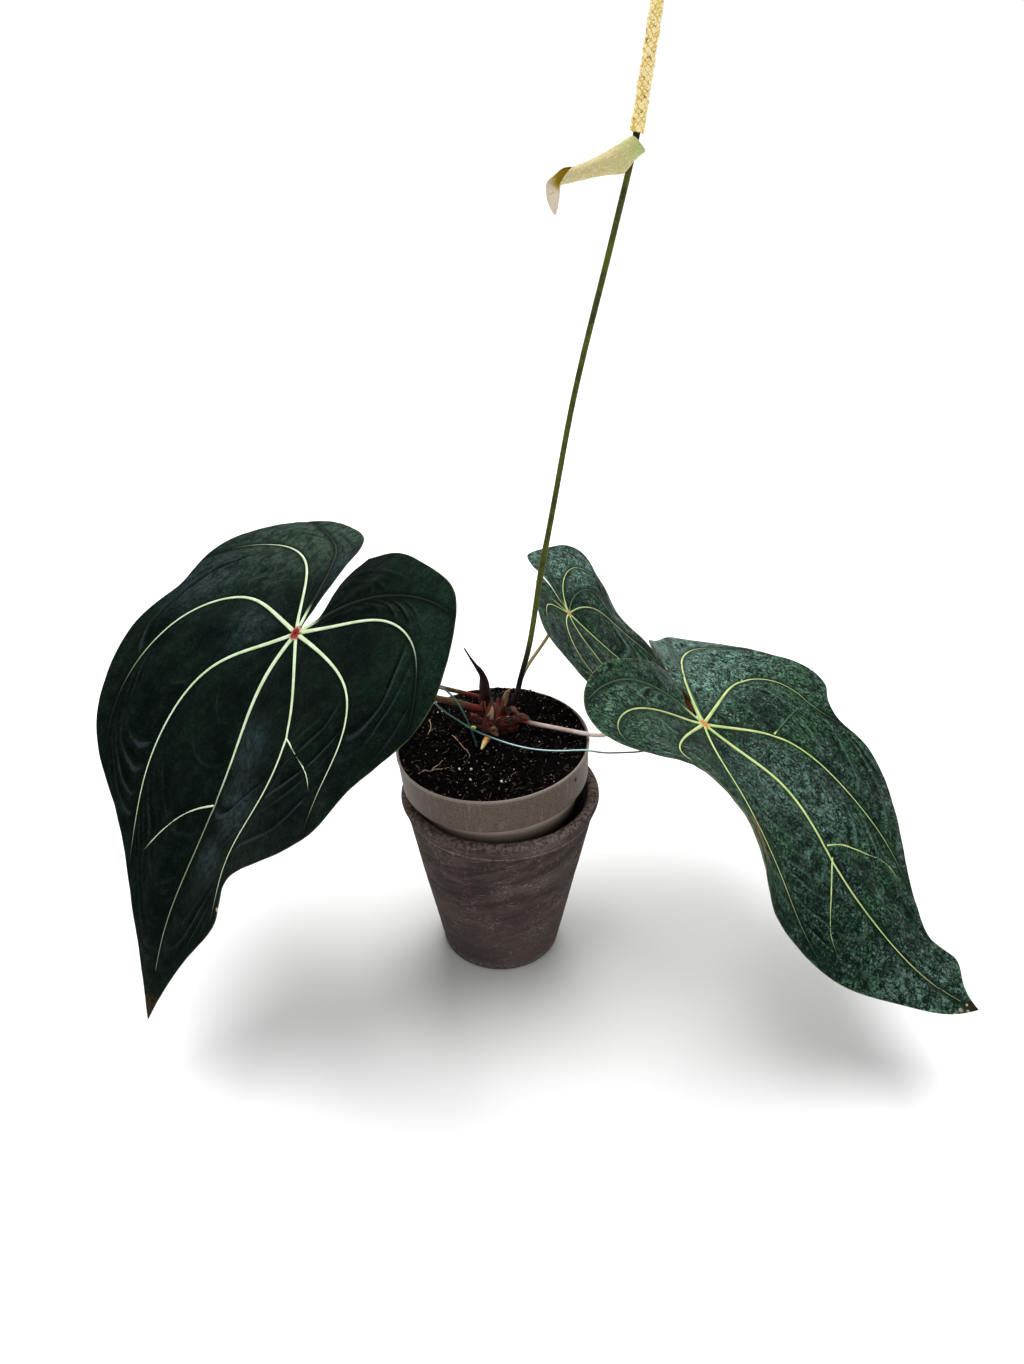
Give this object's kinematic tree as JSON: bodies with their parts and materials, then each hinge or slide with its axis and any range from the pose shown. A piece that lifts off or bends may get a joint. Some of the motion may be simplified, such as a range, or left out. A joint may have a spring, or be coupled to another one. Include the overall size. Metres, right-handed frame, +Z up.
{
  "type": "potted anthurium",
  "caption": "Velvet-leaved anthurium with heart-shaped drooping leaves and a tall flower stalk, in a plastic nursery pot inside a clay cover pot.",
  "frame": {"origin": "centre of the clay pot's flat base", "axes": "+Z up along the clay pot's axis, -Y towards the picture's camera, +X to the camera's right"},
  "size_m": [0.4931, 0.2796, 0.6071],
  "materials": {
    "fired_clay": "matte",
    "nursery_plastic": "satin",
    "potting_soil": "matte",
    "dry_sheath": "matte",
    "root": "satin",
    "petiole": "satin",
    "flower_stalk": "satin",
    "blade_dark": "matte",
    "blade_green": "matte",
    "spathe": "satin",
    "spadix": "matte",
    "green_wire": "gloss"
  },
  "bodies": {
    "root": {"outer_pot": "fired_clay", "nursery_pot": "nursery_plastic", "soil": "potting_soil", "crown": "dry_sheath", "root_tip": "root", "petiole_left": "petiole", "petiole_right": "petiole", "petiole_small": "petiole", "old_stalk": "petiole", "leaf_left": "blade_dark", "leaf_right": "blade_green", "leaf_small": "blade_green", "peduncle": "flower_stalk", "spathe": "spathe", "spadix": "spadix", "support_wire": "green_wire"}
  },
  "joints": []
}
